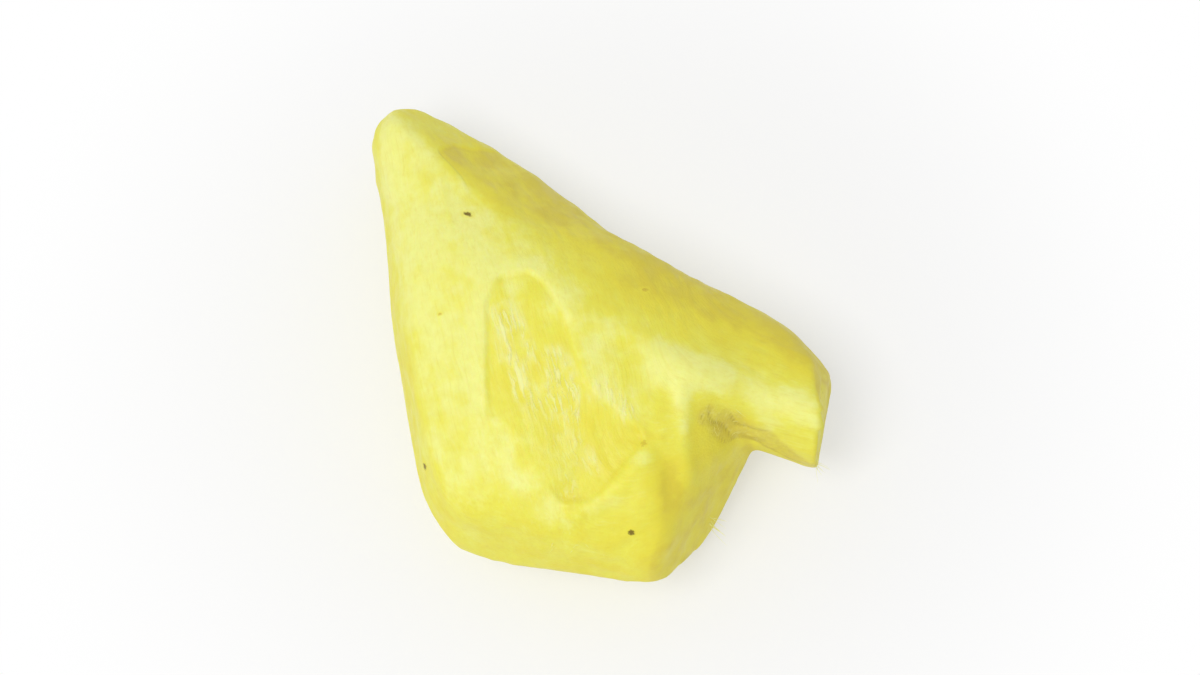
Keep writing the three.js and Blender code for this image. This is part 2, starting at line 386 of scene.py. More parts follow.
# In the last column, the knuckle's paler tone is painted highlight and the lower lobe's golden tone is
# painted shade.
SWELLINGS = {  # middle and spread in plan, height, and how much more golden it is
    "bump on the lower lobe": ((7.0, -29.0), (3.2, 5.0), 0.5, 0.0),
    "knuckle at the stub's root": ((16.6, -11.4), (5.4, 4.2), 1.0, -0.25),
    "saddle above the stub": ((14.5, -3.2), (6.0, 4.5), 0.3, 0.0),
    "painted shade on the lower lobe": ((11.0, -27.0), (8.0, 9.0), 0.0, 0.16),
    "golden foot of the hollow": ((-16.0, -22.0), (6.0, 6.0), 0.0, 0.09),
    "pale lower left": ((-21.0, -31.0), (8.0, 6.0), 0.0, -0.13),
    "pale head of the hollow": ((-9.5, -1.0), (3.5, 5.0), 0.0, -0.12),
}
SKIN_SCRAP = [  # start, end, radius at each
    ((17.4, -18.2, 28.4), (20.8, -18.5, 24.9), (1.5, 2.6)),
    ((20.8, -18.5, 24.9), (28.5, -20.0, 19.6), (2.6, 1.6)),
    ((28.5, -20.0, 19.6), (35.4, -23.2, 14.8), (1.6, 0.9)),
]
TORN_PLACES = [  # start, end and radius at each, in plan, and how badly it is torn
    ((-15.2, -2.0), (-11.0, -15.0), (2.0, 3.2), 1.0),
    ((-7.2, -9.5), (-4.6, -17.0), (1.8, 3.0), 1.0),
    ((1.0, -14.8), (4.2, -18.0), (1.7, 1.8), 0.9),
    ((-9.0, -19.5), (-3.5, -28.0), (3.4, 4.2), 0.45),
]
# Painted shade: walls that face these bearings turn more golden, standing for the shade on sides that face
# away from the lamp or stand steep.
SIDES_IN_PAINTED_SHADE = [  # bearing that the side faces, cosines at which gold begins and is full, how golden
    (-27, 0.2, 0.6, 0.36),
    (50, 0.15, 0.6, 0.22),
    (185, 0.6, 0.95, 0.14),
    (258, 0.4, 0.9, 0.12),
]


def swayed(p):
    """The points, moved in plan by noise at two scales, up to half a millimetre each way, so that
    the edges of marks wander."""
    sway = np.stack([value_noise(p / 5.0, 11), value_noise(p / 5.0, 12)], -1)
    sway += 0.5 * np.stack([value_noise(p / 2.2, 13), value_noise(p / 2.2, 14)], -1)
    return p + 0.35 * np.concatenate([sway, np.zeros((len(p), 1))], -1)


def growth_marks(p, grain):
    """What grew, as heights and tones of value noise: slow swells and narrow bands along the grain,
    dapples, fine pebbling, and drifts of colour."""
    swell = 0.6 * value_noise(grain / (17, 8, 8), 31) + 0.22 * value_noise(grain / (9, 3.6, 3.6), 32)
    band = value_noise(grain / (15, 2.1, 3.0), 33) + 0.7 * value_noise(grain / (6, 1.0, 1.6), 34)
    pebble = value_noise(p / 1.1, 51)
    dapple = value_noise(p / (2.0, 2.6, 2.0), 53)
    drift = 0.06 * value_noise(p / 8, 61) + 0.07 * value_noise(p / 3.6, 62)
    return 0.22 * swell + 0.12 * band + 0.02 * pebble + 0.06 * dapple, 0.12 * band + 0.07 * dapple + drift


def hollow_marks(p, bent, top):
    """A spoon-shaped hollow, crisp on the left, at the top and at the lower right, which runs out at
    the lower left and is torn open in the middle of its right side. Gives its height and tone, and
    masks of where it is and where it is open. The tone is the hollow's own deeper yellow, with a
    paler rim and left bank that are painted highlight."""
    edge = within(bent, SCOOP, 2.0)
    from_heel = bent - (-15.0, -19.0, 0)
    along, inward = from_heel @ facing(-60, 0), from_heel @ facing(30, 0)
    runs_out = smooth_step(along, -6.0, 1.0) * (1 - smooth_step(along, 12.0, 16.0))
    runs_out *= 1 - smooth_step(inward, -1.5, 8.0)
    opened = smooth_step(inside(bent, (-1.8, -12.5), (5.0, -18.5), (2.4, 2.0)), -1.5, 1.5)
    uneven = 0.5 + 0.5 * value_noise(p / 3.4, 16)
    scoop = smooth_step(edge, -0.2, 0.45 + 0.5 * uneven + 1.6 * opened) * top * (1 - runs_out)
    down = smooth_step(bent[:, 1], -12.0, -24.0)
    depth = scoop * (0.52 - 0.2 * opened + (0.25 + 0.6 * down) * bowl(edge, 8.0))
    rim = bell(edge, -1.4, 1.5) * top * (1 - runs_out) * (1 - 0.8 * opened)
    left_bank_highlight = bell(edge, -2.5, 2.2) * (1 - smooth_step(inward, -1.0, 3.0))
    # The paler rim and left bank are painted highlight.
    tone = (0.17 + 0.04 * down) * scoop - 0.1 * rim - 0.12 * left_bank_highlight
    return top * (0.12 * rim - depth), tone, scoop, opened


def slope_marks(p, bent, normal, top, beyond):
    """The slope by the knob, which turns down just past the crest, and a shallow facet along it with
    a nick where the knife went in. Gives their height and tone. The tone is painted shade where
    they face away from the lamp: on the facet, the turn and just past the crest; at the facet's
    crisp edge it is also the deeper flesh that the knife reached."""
    edge = within(bent, SLOPE_FACET, 1.0)
    entered = 1 - smooth_step(np.linalg.norm(bent[:, :2] - (-24.0, 31.0), axis=1), 5.0, 11.0)
    on_slope = smooth_step(normal @ facing(57, 50), 0.55, 0.85) * (1 - smooth_step(p[:, 0], -9, -2))
    facet = 0.4 * bowl(edge + 0.8, 7.0) + 0.28 * smooth_step(edge, -0.1, 0.45) * entered
    turn = smooth_step(bent[:, 0], -29.5, -23.0) * smooth_step(bent[:, 1], 14, 22)
    turn *= 1 - smooth_step(bent[:, 1], 36, 41)
    height = -facet * on_slope - 0.3 * top * turn * (1 - smooth_step(beyond, -0.5, 2.5))
    # Painted shade on the slope facing away from the lamp; the crisp step at the facet's edge is also the
    # deeper flesh under the cut.
    tone = (0.14 + 0.2 * entered) * smooth_step(edge, -0.2, 0.6) + 0.1 * smooth_step(edge, -2.0, 3.0)
    tone = tone * on_slope + 0.2 * turn * (1 - 0.6 * smooth_step(edge, -1.0, 0.5))
    tone += 0.14 * smooth_step(beyond, 0.3, 2.5) * smooth_step(bent[:, 1], 26, 31)
    return height, tone


def fold_marks(bent):
    """The soft ridges, valleys and swellings between strokes: each one's profile times its height,
    and times its tone."""
    profiles = [trail(bent, stops, width) for stops, width, _, _ in FOLDS.values()]
    profiles += [spot(bent, middle, spread) for middle, spread, _, _ in SWELLINGS.values()]
    rises = [mark[2] for mark in (*FOLDS.values(), *SWELLINGS.values())]
    # These tones paint highlight on the raised ridge, crown, knob and knuckle, and shade in the valley and
    # over the lower lobe.
    tones = [mark[3] for mark in (*FOLDS.values(), *SWELLINGS.values())]
    return rises @ np.array(profiles), tones @ np.array(profiles)


def skin_marks(p, bent):
    """A scrap of dry skin left in the fork, with a narrow tail along the stub's lower edge. It is
    wrinkled in rings 2 mm apart around a point on the stub's crest, and its lower border is dark:
    partly the skin's edge, partly painted shade under the stub's lower edge. Gives its height and
    the masks of the skin, its creases with that dark border and tail line, and the netted part of it."""
    line = np.max([inside(bent, *part) for part in SKIN_SCRAP], axis=0)
    skin = smooth_step(line + 0.6 * value_noise(p / 1.5, 15), -0.7, 0.6)
    curl = np.linalg.norm((p - (27.5, -11.0, 27.0)) * (1, 1, 0.8), axis=1)
    curl += 1.2 * value_noise(p / 3.0, 41) + 0.15 * value_noise(p / 1.2, 42)
    wrinkle = np.abs((curl / 2.0 % 1) * 2 - 1)
    tail = smooth_step(p[:, 0], 26, 29)
    pleat = smooth_step(value_noise(p / 2.6, 43), -0.6, 0.1) * (1 - tail)
    # The dark lower border is partly skin and partly painted shade under the stub's lower edge.
    hem_and_shade = bell(line, -0.1, 0.3) * smooth_step(p[:, 0], 19, 22) * (1 - smooth_step(p[:, 0], 31, 35))
    hem_and_shade *= smooth_step((p - SKIN_SCRAP[1][1]) @ facing(162, -57), -0.1, 0.8)
    crease = skin * pleat * (1 - wrinkle) ** 2 + 0.32 * tail * smooth_step(line, -0.4, 0.5) + 0.85 * hem_and_shade
    height = skin * (0.3 * wrinkle * pleat - 0.1)
    return height, {"skin": skin, "crease": crease, "net": skin * (1 - tail)}


def torn_marks(p, grain, scoop, opened):
    """Where fibres are pulled loose in the hollow, and the thin ridges they leave, which follow the
    lines on which stretched noise crosses zero. Gives their height and masks."""
    coarse = 1 - np.abs(value_noise(grain / (5.0, 1.1, 1.1), 21)) / 0.3
    fine = 1 - np.abs(value_noise(grain / (3.2, 0.7, 0.7), 22)) / 0.3
    fibre = np.clip(np.maximum(coarse, 0.7 * fine), 0, 1)
    torn = np.zeros(len(p))
    for start, end, radii, strength in TORN_PLACES:
        torn = np.maximum(torn, strength * smooth_step(inside(p, start, end, radii), -1.4, 1.0))
    torn *= np.maximum(scoop, opened) * smooth_step(value_noise(grain / (5.0, 1.6, 1.6), 23), -0.6, 0.1)
    clump = torn * smooth_step(value_noise(grain / (3.2, 1.3, 1.3), 24), 0.1, 0.5)
    return 0.09 * torn * fibre + 0.12 * clump, {"torn": torn, "fibre": fibre, "clump": clump}


def cut_end_marks(p, normal):
    """The face where the stub was cut off: how deep it is dished, and masks of the face and of the
    ring that lies 2 mm inside its edge."""
    (faced, lift, _, _), (side_bearing, side_lift, side_at, _) = STUB_STROKES
    face = smooth_step(normal @ facing(faced, lift), 0.90, 0.98) * smooth_step(p[:, 0], 33, 36)
    side = (p - side_at) @ facing(side_bearing, side_lift)
    rind = smooth_max(lobe_depth(p, *LOBES["stub"]), side, 3.0)
    ring = face * bell(rind + 0.3 * value_noise(p / 2.5, 71), -2.0, 0.4)
    return 0.25 * face * bowl(-rind, 6.0) + 0.05 * ring, {"end": face, "ring": ring}


def broad_tone(p, bent, crest_place, beyond):
    """How golden the upper side is: more so to the lower right, past the crest, at the knob's upper
    edge, and in patches along the lower left. The gold past the crest is painted shade on the
    slope that faces away from the lamp."""
    tone = 0.05 + 0.3 * np.clip((p - (-32.0, 15.0, 0)) @ facing(-50, 0) / 60, 0, 1.2)
    patch = smooth_step(value_noise(p / (4.0, 8.0, 6.0), 63), 0.0, 0.6)
    tone += 0.25 * patch * (1 - smooth_step(p[:, 0], -25, -20)) * (1 - smooth_step(p[:, 1], -4, 8))
    # Painted shade: the slope past the crest faces away from the lamp.
    past_crest_shade = smooth_step(beyond, 1.5, 12.5) * smooth_step(crest_place, 0.1, 0.35)
    tone += (0.4 + 0.45 * crest_place) * past_crest_shade
    return tone + 0.2 * smooth_step(bent[:, 1] - bent[:, 0], 66, 73)


def surface_marks(p, normal):
    """The relief left by growth and by the knife, as a height along the normal, each point's place
    in the grain, and the masks that the material reads. The tone runs from 0, pale, to 1, golden,
    and is drawn in plan on the upper side and by the side's bearing on the walls. Besides the
    flesh's own colour it holds painted shade, past the crest, on the slope by the knob, in the
    fork, in the valley, over the lower lobe and on the walls that face away from the lamp or stand
    steep, and painted highlight on the hollow's rim and left bank and on the raised ridge, crown,
    knob and knuckle."""
    top = smooth_step(normal[:, 2], 0.1, 0.45)
    grain, bent = grain_place(p), swayed(p)
    crest_place, beyond = beside(bent, CREST)
    fork = spot(bent, (20.8, -18.2, 24.5), (3.0, 2.4, 5.0))
    grown, drift = growth_marks(p, grain)
    hollow, hollow_tone, scoop, opened = hollow_marks(p, bent, top)
    slope, slope_shade_tone = slope_marks(p, bent, normal, top, beyond)
    folds, fold_tone = fold_marks(bent)
    skin, skin_masks = skin_marks(p, bent)
    torn, torn_masks = torn_marks(p, grain, scoop, opened)
    dish, end_masks = cut_end_marks(p, normal)

    height = grown + hollow + slope + top * folds - fork + skin + torn
    height = height * smooth_step(p[:, 2], 0.3, 2.6) * (1 - 0.8 * end_masks["end"]) - dish

    plan = broad_tone(p, bent, crest_place, beyond) + hollow_tone + slope_shade_tone + fold_tone
    wall = 1 - smooth_step(normal[:, 2], -0.1, 0.5)
    # The 0.3 share of gold in the fork is painted shade in its recess.
    tone = plan + (0.42 + 0.2 * np.clip(plan, 0, 0.8) - plan) * wall + drift + 0.3 * fork
    # Painted shade on the sides that face away from the lamp or stand steep.
    for bearing, low, high, shade_gold in SIDES_IN_PAINTED_SHADE:
        tone += shade_gold * smooth_step(normal @ facing(bearing, 0), low, high)
    tone = np.clip(tone - 0.4 * end_masks["end"], 0, 1)
    return height, grain, {"tone": tone, **skin_masks, **torn_masks, **end_masks}


WIDE_FLATS = 34
SHORT_FLATS = 90


def knife_flats(p, points, normals):
    """Flats from the peeling knife. First, wide planes that face all ways round the sides and lie a
    little under the furthest point of the flesh. Then many short ones, each a plane just under one
    place on the sides, which only reaches the flesh near that place. Turns, levels and places are
    multiples of irrational numbers, which share them out evenly without a pattern."""
    trimmed = p.copy()
    for i in range(WIDE_FLATS):
        away = facing(i * 137.5, -50 + 78 * ((i * 0.618) % 1))
        level = (points @ away).max() - 0.35 - 0.5 * ((i * 0.414) % 1)
        trimmed -= smooth_max(trimmed @ away - level, np.zeros(len(p)), 0.8)[:, None] * away
    for i in range(SHORT_FLATS):
        k = int((i * 0.61803 % 1) * ROWS) * AROUND + int((i * 0.32472 % 1) * AROUND)
        tilt = 0.06 * np.array([math.sin(i * 2.4), math.cos(i * 1.7), math.sin(i * 3.1)])
        away = (normals[k] + tilt) / np.linalg.norm(normals[k] + tilt)
        bite = (0.16 + 0.2 * (i * 0.7549 % 1)) * float(smooth_step(normals[k, 2], 0.45, 0.1))
        distance = np.linalg.norm(p - points[k], axis=1)
        over = (p - points[k]) @ away + bite
        if bite == 0 or over[distance < 7].max() > bite + 0.35:
            continue
        over = smooth_max(over, np.zeros(len(p)), 0.3) * (1 - smooth_step(distance, 4, 7))
        trimmed -= over[:, None] * away
    return trimmed


def make_mesh(name, points, faces, values):
    """A smooth mesh object from point and face arrays, with a point attribute for each array of
    numbers or vectors in values."""
    mesh = bpy.data.meshes.new(name)
    mesh.from_pydata(points.tolist(), [], faces)
    for key, value in values.items():
        kind, field = ("FLOAT", "value") if value.ndim == 1 else ("FLOAT_VECTOR", "vector")
        data = mesh.attributes.new(key, kind, "POINT").data
        data.foreach_set(field, value.astype(np.float32).ravel())
    mesh.shade_smooth()
    mesh.validate()
    piece = bpy.data.objects.new(name, mesh)
    bpy.context.scene.collection.objects.link(piece)
    return piece


own_points, flesh_quads = flesh_grid()
own_low, own_high = own_points.min(0), own_points.max(0)
frame_low, frame_high = (np.array(corner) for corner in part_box("ginger_root"))


def placed(p):
    """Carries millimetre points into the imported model's box, in metres."""
    return frame_low + (p - own_low) / (own_high - own_low) * (frame_high - frame_low)


flesh_normals = outward_normals(own_points, flesh_depth)
heights, flesh_grain, flesh_masks = surface_marks(own_points, flesh_normals)
flesh_points = knife_flats(own_points, own_points, flesh_normals) + heights[:, None] * flesh_normals
flesh_points[:, 2] = np.maximum(flesh_points[:, 2], 0)
flesh_tree = BVHTree.FromPolygons(flesh_points.tolist(), flesh_quads.tolist())
flesh_values = {"grain": flesh_grain, **flesh_masks}
flesh = make_mesh("ginger_flesh", placed(flesh_points), flesh_quads.tolist(), flesh_values)


def link(tree, source, target):
    """Joins one node's output socket to another's input socket."""
    tree.links.new(source, target)


def noise(tree, vector, scale, detail=2.0, roughness=0.5):
    """A noise texture's factor over the given vector."""
    node = tree.nodes.new("ShaderNodeTexNoise")
    node.inputs["Scale"].default_value = scale
    node.inputs["Detail"].default_value = detail
    node.inputs["Roughness"].default_value = roughness
    link(tree, vector, node.inputs["Vector"])
    return node.outputs["Factor"] if "Factor" in node.outputs else node.outputs["Fac"]


def fit_range(tree, value, low, high, to_low=0.0, to_high=1.0):
    """Maps low..high to to_low..to_high with a smooth, clamped rise."""
    node = tree.nodes.new("ShaderNodeMapRange")
    node.interpolation_type = "SMOOTHSTEP"
    for key, number in (("From Min", low), ("From Max", high), ("To Min", to_low), ("To Max", to_high)):
        node.inputs[key].default_value = number
    link(tree, value, node.inputs["Value"])
    return node.outputs["Result"]


def product(tree, a, b):
    """a times b, where b is a socket or a number."""
    node = tree.nodes.new("ShaderNodeMath")
    node.operation = "MULTIPLY"
    link(tree, a, node.inputs[0])
    if isinstance(b, (int, float)):
        node.inputs[1].default_value = b
    else:
        link(tree, b, node.inputs[1])
    return node.outputs[0]


def summed(tree, a, b, clamp=False):
    """a plus b, kept between 0 and 1 if clamp is set."""
    node = tree.nodes.new("ShaderNodeMath")
    node.use_clamp = clamp
    link(tree, a, node.inputs[0])
    link(tree, b, node.inputs[1])
    return node.outputs[0]


def vector_length(tree, vector):
    """The length of a vector."""
    node = tree.nodes.new("ShaderNodeVectorMath")
    node.operation = "LENGTH"
    link(tree, vector, node.inputs[0])
    return node.outputs["Value"]


def mixed(tree, share, a, b):
    """Colour a shading into colour b by share. Each colour is a socket or an RGB triple."""
    node = tree.nodes.new("ShaderNodeMix")
    node.data_type = "RGBA"
    link(tree, share, node.inputs[0])
    for socket, colour in ((node.inputs[6], a), (node.inputs[7], b)):
        if isinstance(colour, tuple):
            socket.default_value = (*colour, 1)
        else:
            link(tree, colour, socket)
    return node.outputs[2]


def attribute(tree, name, output="Fac"):
    """A mesh attribute's value."""
    node = tree.nodes.new("ShaderNodeAttribute")
    node.attribute_name = name
    return node.outputs[output]


def stretched(tree, vector, scale):
    """The vector with each axis scaled on its own."""
    node = tree.nodes.new("ShaderNodeMapping")
    node.inputs["Scale"].default_value = scale
    link(tree, vector, node.inputs["Vector"])
    return node.outputs["Vector"]


def bumped(tree, height, strength, normal=None):
    """The normal of relief up to RELIEF_HEIGHT high, on top of another normal if one is given."""
    node = tree.nodes.new("ShaderNodeBump")
    node.inputs["Strength"].default_value = strength
    node.inputs["Distance"].default_value = RELIEF_HEIGHT
    link(tree, height, node.inputs["Height"])
    if normal is not None:
        link(tree, normal, node.inputs["Normal"])
    return node.outputs["Normal"]


def new_material(name):
    """A node material, its node tree and its main shader."""
    material = bpy.data.materials.new(name)
    material.use_nodes = True
    return material, material.node_tree, material.node_tree.nodes["Principled BSDF"]


def let_light_in(shader, share, reach, colour_reach):
    """Lets a share of the light travel under the surface, as far as reach times each colour's own."""
    shader.inputs["Subsurface Weight"].default_value = share
    shader.inputs["Subsurface Scale"].default_value = reach
    shader.inputs["Subsurface Radius"].default_value = colour_reach


PALE = (0.935, 0.945, 0.285)  # the flesh, from its palest to its most golden
MILD = (0.885, 0.85, 0.11)
DEEP = (0.87, 0.785, 0.072)
HONEY = (0.74, 0.605, 0.06)
CREAM = (0.90, 0.86, 0.24)  # blotches where it is pale
FIBRE = (0.95, 0.95, 0.42)
TAN = (0.70, 0.58, 0.10)  # dry skin
# BROWN also paints shade along the stub's lower edge, through the crease mask.
BROWN = (0.48, 0.35, 0.04)  # the creases in it
SPECK = (0.15, 0.085, 0.01)
BRUISE = (0.62, 0.45, 0.04)
RELIEF_HEIGHT = 0.00015  # metres, for relief too fine to model

SPECKS = [  # place, half length and half width, turn in degrees, colour, how strong it is
    ((-21.5, 16.8, 28.6), 0.72, 0.42, -20, SPECK, 0.88),
    ((-28.0, -24.4, 21.2), 0.62, 0.5, -50, SPECK, 0.88),
    ((5.3, -36.7, 25.8), 0.54, 0.4, -5, SPECK, 0.88),
    ((-25.6, -1.2, 30.1), 0.3, 0.22, 10, BRUISE, 0.6),
    ((7.1, -23.2, 31.1), 0.55, 0.45, 60, BRUISE, 0.6),
    ((7.6, 3.5, 28.5), 0.6, 0.4, 10, BRUISE, 0.6),
]


def flesh_colour(tree, place, tone, fine):
    """Pale, mild, deep or honey yellow by the tone, mottled and finely streaked with honey. Where
    it is pale it also has cream blotches and whitish streaks."""
    colour = mixed(tree, fit_range(tree, tone, 0.0, 0.4), PALE, MILD)
    colour = mixed(tree, fit_range(tree, tone, 0.3, 0.75), colour, DEEP)
    colour = mixed(tree, fit_range(tree, tone, 0.7, 1.2), colour, HONEY)
    mottle = fit_range(tree, noise(tree, place, 620, 5, 0.7), 0.35, 0.7, 0.0, 0.16)
    colour = mixed(tree, mottle, colour, HONEY)
    pale = fit_range(tree, tone, 0.2, 0.75, 1.0, 0.05)
    blotch = fit_range(tree, noise(tree, place, 120, 3, 0.6), 0.52, 0.74, 0.0, 0.2)
    colour = mixed(tree, product(tree, blotch, pale), colour, CREAM)
    colour = mixed(tree, fit_range(tree, fine, 0.3, 0.48, 0.17, 0.0), colour, HONEY)
    streak = fit_range(tree, fine, 0.52, 0.72, 0.0, 0.22)
    return mixed(tree, product(tree, streak, pale), colour, FIBRE)


def with_torn_places(tree, colour, torn, thread, loose):
    """Adds whitish fibres, clumps and loose threads to the torn places, and deeper yellow between
    the threads."""
    fibre = product(tree, torn, attribute(tree, "fibre"))
    colour = mixed(tree, product(tree, fibre, 0.6), colour, FIBRE)
    colour = mixed(tree, product(tree, attribute(tree, "clump"), 0.5), colour, FIBRE)
    between = product(tree, torn, fit_range(tree, thread, 0.36, 0.47, 0.4, 0.0))
    colour = mixed(tree, between, colour, DEEP)
    return mixed(tree, product(tree, loose, 0.68), colour, FIBRE)


def with_cut_end(tree, colour, place):
    """Adds the honey-coloured dots of the bundles, and the ring, to the cut end."""
    bundle = tree.nodes.new("ShaderNodeTexVoronoi")
    bundle.inputs["Scale"].default_value = 900
    link(tree, place, bundle.inputs["Vector"])
    dots = fit_range(tree, bundle.outputs["Distance"], 0.12, 0.3, 0.8, 0.0)
    colour = mixed(tree, product(tree, dots, attribute(tree, "end")), colour, HONEY)
    return mixed(tree, product(tree, attribute(tree, "ring"), 0.8), colour, HONEY)


def with_skin(tree, colour, place):
    """Adds the scrap of flecked tan skin, its brown creases, the dark line along the stub's lower
    edge, which is partly skin and partly painted shade, and the pale net in it.
    """
    flecks = fit_range(tree, noise(tree, place, 900, 4, 0.7), 0.35, 0.62, 0.6, 1.0)
    skin = product(tree, attribute(tree, "skin"), 0.62)
    colour = mixed(tree, product(tree, skin, flecks), colour, TAN)
    crease = fit_range(tree, attribute(tree, "crease"), 0.2, 0.9, 0.0, 0.46)
    colour = mixed(tree, product(tree, crease, flecks), colour, BROWN)
    net = fit_range(tree, noise(tree, place, 1200, 2, 0.5), 0.5, 0.7, 0.0, 0.2)
    return mixed(tree, product(tree, net, attribute(tree, "net")), colour, FIBRE)


def with_specks(tree, colour, place):
    """Adds the specks: ovals with a ragged edge and a faint golden halo, each on the flesh nearest
    its own place. A speck's edge is where the distance from its middle, measured in half lengths
    and half widths, reaches 1."""
    ragged = fit_range(tree, noise(tree, place, 2600, 3, 0.6), 0.3, 0.7, -0.28, 0.28)
    for at, long, wide, turn, shade, strength in SPECKS:
        across = tree.nodes.new("ShaderNodeMapping")
        across.vector_type = "TEXTURE"
        across.inputs["Location"].default_value = placed(np.array(flesh_tree.find_nearest(at)[0]))
        across.inputs["Rotation"].default_value = (0, 0, math.radians(turn))
        across.inputs["Scale"].default_value = (0.001 * long, 0.001 * wide, 0.001 * long)
        link(tree, place, across.inputs["Vector"])
        edge = summed(tree, vector_length(tree, across.outputs["Vector"]), ragged)
        colour = mixed(tree, fit_range(tree, edge, 1.0, 2.6, 0.45, 0.0), colour, DEEP)
        colour = mixed(tree, fit_range(tree, edge, 0.55, 1.25, strength, 0.0), colour, shade)
    return colour


def flesh_material():
    """Moist ginger flesh: pale lemon on the crests and golden on the slopes, partly its own colour
    and partly painted highlight and shade, with whitish fibres, tan skin in the fork, a few dark
    specks, and light that enters a millimetre or two."""
    material, tree, shader = new_material("ginger_flesh")
    place = tree.nodes.new("ShaderNodeTexCoord").outputs["Object"]
    grain = attribute(tree, "grain", "Vector")
    cloud = fit_range(tree, noise(tree, place, 260, 4, 0.6), 0.3, 0.7, -0.1, 0.1)
    tone = summed(tree, attribute(tree, "tone"), cloud, clamp=True)
    fine = noise(tree, stretched(tree, grain, (0.2, 2.2, 2.2)), 1.0, 4, 0.6)
    thread = noise(tree, stretched(tree, grain, (0.3, 1.7, 1.7)), 1.0, 3, 0.55)
    torn = attribute(tree, "torn")
    loose = product(tree, torn, fit_range(tree, thread, 0.5, 0.6))

    colour = flesh_colour(tree, place, tone, fine)
    colour = with_torn_places(tree, colour, torn, thread, loose)
    colour = with_cut_end(tree, colour, place)
    colour = with_skin(tree, colour, place)
    colour = with_specks(tree, colour, place)
    link(tree, colour, shader.inputs["Base Color"])
    gloss = fit_range(tree, noise(tree, place, 300, 3), 0.3, 0.7, 0.34, 0.56)
    link(tree, gloss, shader.inputs["Roughness"])
    shader.inputs["Specular IOR Level"].default_value = 0.27
    let_light_in(shader, 0.4, 0.002, (1.0, 0.8, 0.25))

    pores = noise(tree, place, 1300, 4, 0.65)
    relief = summed(tree, product(tree, fine, 1.2), pores)
    link(tree, bumped(tree, relief, 0.45, bumped(tree, loose, 0.6)), shader.inputs["Normal"])
    return material


flesh.data.materials.append(flesh_material())
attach(flesh, "root")
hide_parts("ginger_root")


# ---- The torn fibres -------------------------------------------------------------------------------
# Thin whitish strands that the knife pulled out of the flesh. Most lie along the grain in the hollow;
# a few stand up at the fork, the lower lobe's wall and the corner of the cut end.

STRAND_STEPS = 9
STRAND_SIDES = 6
LAID_FLAT = 0.2  # strands that rise less than this follow the flesh all the way
STRANDS = [  # middle and spread of the places they start, how many, heading, length, rise, half width
    ((-14.0, -6.5, 31.0), (2.0, 5.0, 0.5), 5, -78, 2.4, 0.04, 0.05),
    ((-5.2, -13.5, 31.0), (1.6, 3.0, 0.5), 4, -80, 2.0, 0.05, 0.05),
    ((2.4, -16.2, 31.0), (1.8, 1.6, 0.5), 4, -66, 1.4, 0.08, 0.05),
    ((20.2, -17.8, 26.0), (2.8, 1.4, 2.0), 3, -35, 2.0, 0.25, 0.05),
    ((21.0, -18.4, 24.0), (3.0, 1.4, 2.0), 2, 35, 1.5, 0.25, 0.05),
    ((18.8, -30.6, 10.0), (0.4, 1.6, 2.4), 7, -42, 2.2, 0.9, 0.08),
    ((-3.0, -38.3, 21.8), (5.0, 0.6, 1.8), 7, -110, 0.9, 0.4, 0.06),
    ((36.8, -22.2, 12.5), (0.7, 0.7, 2.0), 7, -60, 1.3, 0.7, 0.07),
]


def strand_paths():
    """The centre lines: from a scattered place, a bent line in the heading's direction. Its stops
    are laid on the flesh, let go of it by a share that grows with t if the strand stands up, and
    raised by rise * length * t**1.5."""
    random = np.random.default_rng(5)
    t = np.linspace(0, 1, STRAND_STEPS)
    paths, ups, widths = [], [], []
    for middle, spread, count, heading, length, rise, width in STRANDS:
        for _ in range(count):
            start = np.array(middle) + np.array(spread) * random.uniform(-1, 1, 3)
            turn = heading + random.normal(0, 6 + 40 * min(rise, 0.5))
            reach = length * random.uniform(0.5, 1.3)
            curl = random.uniform(-0.25, 0.25)
            lift = rise * random.uniform(0.6, 1.4)
            bend = t[:, None] * facing(turn, 0) + (curl * t**2)[:, None] * facing(turn + 90, 0)
            line = start + reach * bend
            found = [flesh_tree.find_nearest(stop) for stop in line.tolist()]
            on, up = np.array([f[0] for f in found]), np.array([f[1] for f in found])
            up = up.mean(0) / np.linalg.norm(up.mean(0))
            free = t[:, None] * (min(lift, 1) if rise > LAID_FLAT else 0)
            raised = (reach * lift * t**1.5 + 0.02)[:, None] * up
            paths.append(on * (1 - free) + line * free + raised)
            ups.append(np.repeat(up[None], STRAND_STEPS, axis=0))
            widths.append(width * random.uniform(0.6, 1.3))
    return np.array(paths), np.array(ups), np.array(widths)


